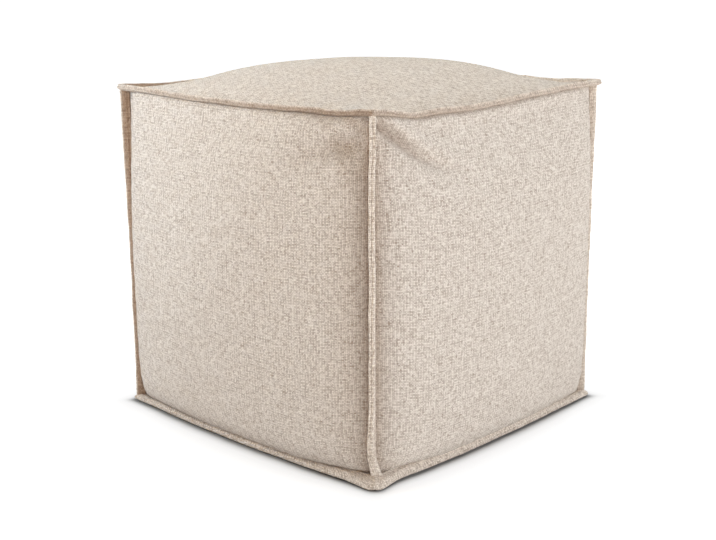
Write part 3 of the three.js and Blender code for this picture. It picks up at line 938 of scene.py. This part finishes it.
studio = {
    "floorColour": (0.32, 0.32, 0.32, 1),
    "floorRoughness": 0.9,
    "floorSpecular": 0.1,
    "fullGlow": 1.1,
    # metres outside the outline, and the share of the full glow there
    "glow": [(-1, 0), (-0.004, 0), (0.001, 0), (0.0035, 0.13), (0.007, 0.33), (0.0105, 0.47), (0.014, 0.56),
             (0.0175, 0.60), (0.021, 0.63), (0.028, 0.66), (0.042, 0.70), (0.06, 0.76), (0.1, 0.84),
             (0.2, 0.9), (0.6, 0.95), (1.4, 1), (60, 1)],
    "smallestRing": 0.05,  # as a share of the outline
    "worldColour": (1, 1, 1, 1),
    "lampTarget": (0, 0, 0.25),
}
lamps = {
    "topBox": {"at": (0, 0.3, 2.6), "size": 1.6, "watts": 24.8, "colour": (0.90, 0.96, 1)},
    "backBox": {"at": (0.2, 2.0, 2.4), "size": 1.6, "watts": 24.5, "colour": (0.94, 1, 0.99)},
    "rightBox": {"at": (2.5, 0.9, 1.1), "size": 1.5, "watts": 33.2, "colour": (0.96, 0.97, 1)},
    "leftBox": {"at": (-2.2, 0.3, 2.0), "size": 1.4, "watts": 9, "colour": (1, 0.92, 0.93)},
    "nearLeftBox": {"at": (-0.6, -0.8, 0.85), "size": 0.5, "watts": 6.8, "colour": (0.53, 0.73, 0.97)},
    "frontBox": {"at": (-0.5, -1.1, 1.4), "size": 0.8, "watts": 8.0, "colour": (1, 0.69, 0.27)},
    "viewBox": {"at": (1.3, -1.5, 1.0), "size": 1.0, "watts": 8.2, "colour": (1, 0.86, 0.80)},
}
cameraLook = {
    "at": (1.1719, -1.2238, 0.6078),
    "yaw": 43.83,
    "pitch": 13.9,
    "roll": -0.58,
    "lens": 62.91,
    "sensor": 36,
    "farthest": 200,
}


# Stands a lamp or camera at a place, with its own axes to the right, above and backwards
def place(thing, at, right, above, forward):
    thing.matrix_world = Matrix(np.block([
        [np.stack([right, above, -forward], 1), np.array(at, float)[:, None]],
        [np.zeros((1, 3)), np.ones((1, 1))],
    ]).tolist())


# Stands a lamp at a place and turns it towards a target
def aim(thing, at, target):
    forward = unit(np.array(target, float) - np.array(at, float))
    right = unit(np.cross(forward, up))
    place(thing, at, right, np.cross(right, forward), forward)


# A disc of rings about the pouf's outline on the floor, each the outline times 1 + past / radius.
# floorGlow is a painted glow that goes from 0 under the edge to full further out, so that the floor is
# white with a narrow painted soft shadow
def makeFloor(outline):
    past, glow = np.array(studio["glow"]).T
    radius = np.linalg.norm(outline, axis=1, keepdims=True)
    rings = outline[None] * np.maximum(studio["smallestRing"], 1 + past[:, None, None] / radius[None])
    points = np.concatenate([rings, 0 * rings[..., :1]], -1)
    faces = gridFaces(len(past), len(outline), closeColumns=True)
    mesh = bpy.data.meshes.new("studioFloor")
    mesh.from_pydata(points.reshape(-1, 3).tolist(), [], faces.tolist() + [list(range(len(outline)))])
    shade = np.repeat(glow, len(outline))
    mesh.attributes.new("floorGlow", "FLOAT", "POINT").data.foreach_set("value", shade.astype(np.float32))
    floor = bpy.data.objects.new("studioFloor", mesh)
    bpy.context.scene.collection.objects.link(floor)
    w = Wires("paleFloor")
    amount = w.add("ShaderNodeAttribute", attribute_name="floorGlow").outputs["Fac"]
    colour = w.mixColour(amount, (0, 0, 0, 1), (1, 1, 1, 1))
    shader = w.add("ShaderNodeBsdfPrincipled", {"Base Color": studio["floorColour"],
                                                "Roughness": studio["floorRoughness"],
                                                "Emission Color": colour,
                                                "Emission Strength": studio["fullGlow"]})
    shader.inputs["Specular IOR Level"].default_value = studio["floorSpecular"]
    w.add("ShaderNodeOutputMaterial", {"Surface": shader.outputs[0]})
    mesh.materials.append(w.material)


# A white background that lights nothing itself, and the soft lamps
def makeLights():
    world = bpy.data.worlds.new("studioWorld")
    world.use_nodes = True
    world.node_tree.nodes["Background"].inputs[0].default_value = studio["worldColour"]
    world.cycles_visibility.diffuse = False
    world.cycles_visibility.glossy = False
    bpy.context.scene.world = world
    for name, lamp in lamps.items():
        light = bpy.data.lights.new(name, "AREA")
        light.shape = "DISK"
        light.size = lamp["size"]
        light.energy = lamp["watts"]
        light.color = lamp["colour"]
        holder = bpy.data.objects.new(name, light)
        holder.visible_camera = False
        bpy.context.scene.collection.objects.link(holder)
        aim(holder, lamp["at"], studio["lampTarget"])


# The camera: its forward direction from yaw and pitch, then turned about it by roll
def makeCamera():
    camera = bpy.data.cameras.new("viewCamera")
    camera.sensor_fit = "HORIZONTAL"
    camera.sensor_width = cameraLook["sensor"]
    camera.lens = cameraLook["lens"]
    camera.clip_end = cameraLook["farthest"]
    holder = bpy.data.objects.new("viewCamera", camera)
    bpy.context.scene.collection.objects.link(holder)
    yaw, pitch, roll = (math.radians(cameraLook[k]) for k in ("yaw", "pitch", "roll"))
    forward = np.array([-math.cos(pitch) * math.sin(yaw), math.cos(pitch) * math.cos(yaw), -math.sin(pitch)])
    right = np.array([math.cos(yaw), math.sin(yaw), 0])
    above = np.cross(right, forward)
    place(holder, cameraLook["at"], math.cos(roll) * right + math.sin(roll) * above,
          math.cos(roll) * above - math.sin(roll) * right, forward)
    bpy.context.scene.camera = holder


floorEdge = np.concatenate([baseOutline(side, levelSteps(), 2 * k) for k, side in enumerate(sides)])
makeFloor(floorEdge)
makeLights()
makeCamera()
bpy.context.scene.view_settings.view_transform = "Standard"
print("studio made")
